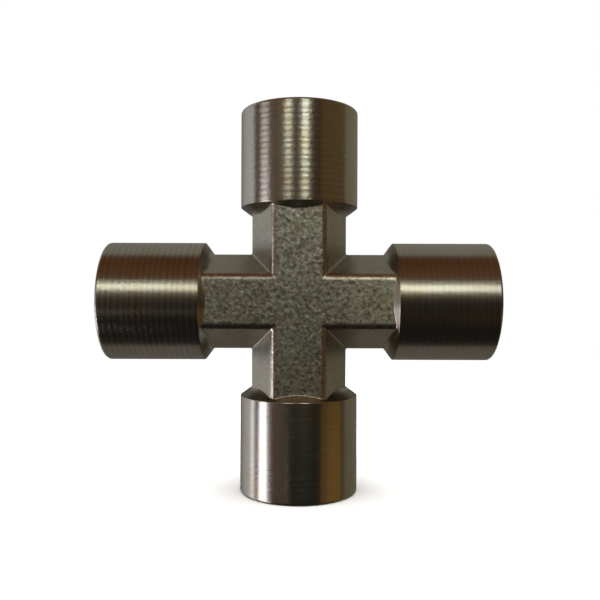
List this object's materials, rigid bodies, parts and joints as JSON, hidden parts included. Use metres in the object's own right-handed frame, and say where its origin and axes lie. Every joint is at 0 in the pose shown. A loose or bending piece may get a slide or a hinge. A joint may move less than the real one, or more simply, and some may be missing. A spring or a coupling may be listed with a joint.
{
  "type": "pipe cross fitting",
  "caption": "Equal female cross fitting in nickel-plated brass: turned threaded sockets on a bevelled forged core, joining pipes that meet at right angles.",
  "frame": {"origin": "the point where the port axes cross, at the centre of the fitting", "axes": "+X along the axis of the right-hand port and +Z along the axis of the upper port, seen from the front; -Y is the front, so the cross lies in the XZ plane and +Y points out of its back"},
  "size_m": [0.055, 0.017, 0.055],
  "materials": {
    "nickel_plated_brass": "satin"
  },
  "bodies": {
    "root": {"cross_body": "nickel_plated_brass"}
  },
  "joints": []
}
